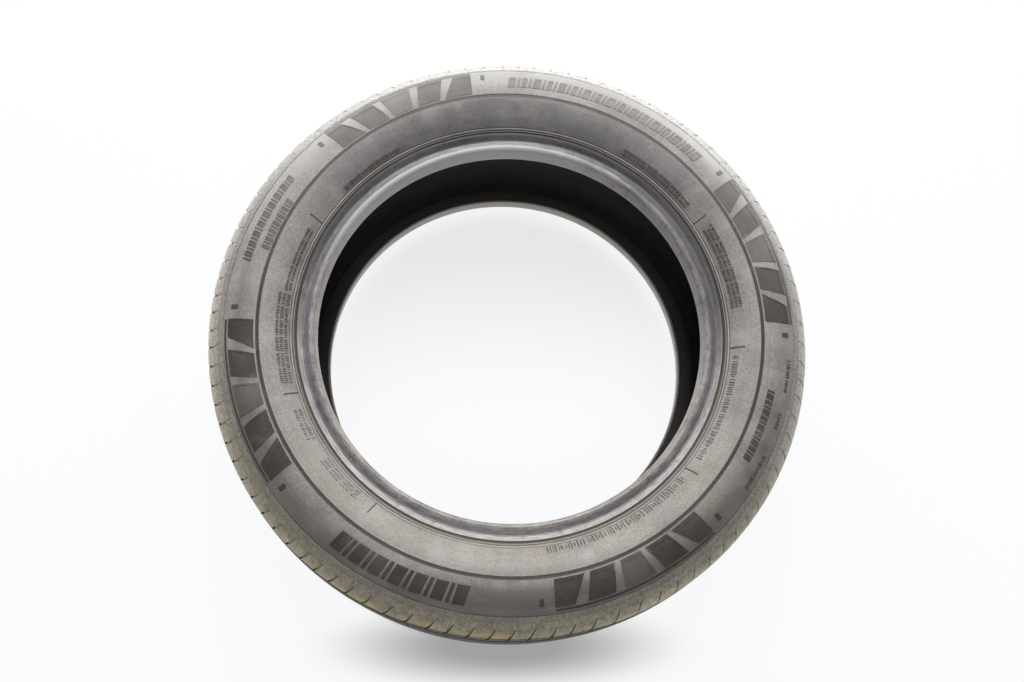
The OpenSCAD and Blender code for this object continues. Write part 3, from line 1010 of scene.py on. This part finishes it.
# ---------------------------------------------------------------------------
# The pieces
# ---------------------------------------------------------------------------
def tyre_pieces():
    """Casing, tread and the marks of both sides, each with its finishes."""
    dark, small = block_rubber("block_rubber", 0.225), print_rubber()
    bar_finish, paler = block_rubber("bar_rubber", 0.36), block_rubber("key_rubber", 0.27, 2.0)
    marks = ((fan_blocks, (dark, paler, bar_finish)), (word_blocks, (bar_finish,)), (knurled_ring, (dark,)),
             (section_ticks, (dark,)), (small_print, (small,)))
    body, skin = casing(), tread()
    finishes = {body: (weathered_rubber(), liner_rubber()), skin: (tread_rubber(), slot_rubber())}
    for side, tag in ((1, "outer"), (-1, "inner")):
        for make, used in marks:
            finishes[make(make.__name__ + "_" + tag, side)] = used
    for piece, used in finishes.items():
        for finish in used:
            piece.data.materials.append(finish)
        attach(piece, "root")
    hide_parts("tyre")


# ---------------------------------------------------------------------------
# Studio
# ---------------------------------------------------------------------------
FLOOR_SIZE, FLOOR_GAP = 14.0, 0.6 * MM
SKY = 0.07
LAMP_AWAY = 2.6
LAMP_SIZE = (1.1, 0.8)
# soft lamps, aimed at the middle of the tyre: azimuth and elevation in degrees, watts
LAMPS = (
    ("window_middle", 90, 10.4, 9.0),
    ("window_right", 52, 15.3, 37.0),
    ("window_left", 125, 15, 26.0),
    ("left_high", 125, 40, 6.0),
    ("left_low", 203, 11, 5.0),
    ("key", 90, 42, 37.0),
    ("key_high", 90, 62, 14.0),
    ("front_right", -45, 20, 5.5),
    ("front_low", -90, 13.4, 4.5),
    ("front_high", -90, 60, 12.0),
)
CAMERA_AT = (-60.6, -350.3, 1174.6)      # millimetres, from the middle of the tyre
CAMERA_VIEW = (0.05306, 0.29154, -0.95509)
CAMERA_LENS, CAMERA_SENSOR = 36.239, 36.0


def studio():
    """Floor, sky and lamps."""
    floor = start("plane", size=FLOOR_SIZE, location=(0, 0, LOW.z - FLOOR_GAP))
    place(floor)
    floor.name = "studio_floor"
    floor.data.materials.append(floor_finish())

    bpy.context.scene.world = bpy.data.worlds.new("studio")
    f = Finish("studio", bpy.context.scene.world)
    seen = f.node("ShaderNodeLightPath", out="Is Camera Ray")
    sky = f.node("ShaderNodeBackground", {}, {"Strength": SKY})
    white = f.node("ShaderNodeBackground", {}, {"Color": (1, 1, 1, 1)})
    mixed = f.node("ShaderNodeMixShader", {}, {0: seen, 1: sky, 2: white})
    f.node("ShaderNodeOutputWorld", {}, {"Surface": mixed})

    target = Vector((0, 0, MID_Z * MM))
    for name, azimuth, elevation, watts in LAMPS:
        lamp = bpy.data.lights.new(name, "AREA")
        lamp.energy, lamp.shape = watts, "RECTANGLE"
        lamp.size, lamp.size_y = LAMP_SIZE
        lamp_object = bpy.data.objects.new(name, lamp)
        bpy.context.scene.collection.objects.link(lamp_object)
        a, e = math.radians(azimuth), math.radians(elevation)
        way = Vector((math.cos(e) * math.cos(a), math.cos(e) * math.sin(a), math.sin(e)))
        lamp_object.location = target + way * LAMP_AWAY
        lamp_object.rotation_euler = way.to_track_quat("Z", "Y").to_euler()


def camera():
    """The eye, level from left to right, above the tyre and to its front."""
    view = Vector(CAMERA_VIEW).normalized()
    right = view.cross(Vector((0, 1, 0))).normalized()
    up = right.cross(view)
    data = bpy.data.cameras.new("camera")
    data.sensor_width, data.lens = CAMERA_SENSOR, CAMERA_LENS
    eye = bpy.data.objects.new("camera", data)
    bpy.context.scene.collection.objects.link(eye)
    turn = Matrix((right, up, -view)).transposed().to_4x4()
    x, y, z = CAMERA_AT
    eye.matrix_world = Matrix.Translation(Vector((x, y, z + MID_Z)) * MM) @ turn
    bpy.context.scene.camera = eye


camera()
tyre_pieces()
studio()
bpy.context.scene.view_settings.view_transform = "Standard"
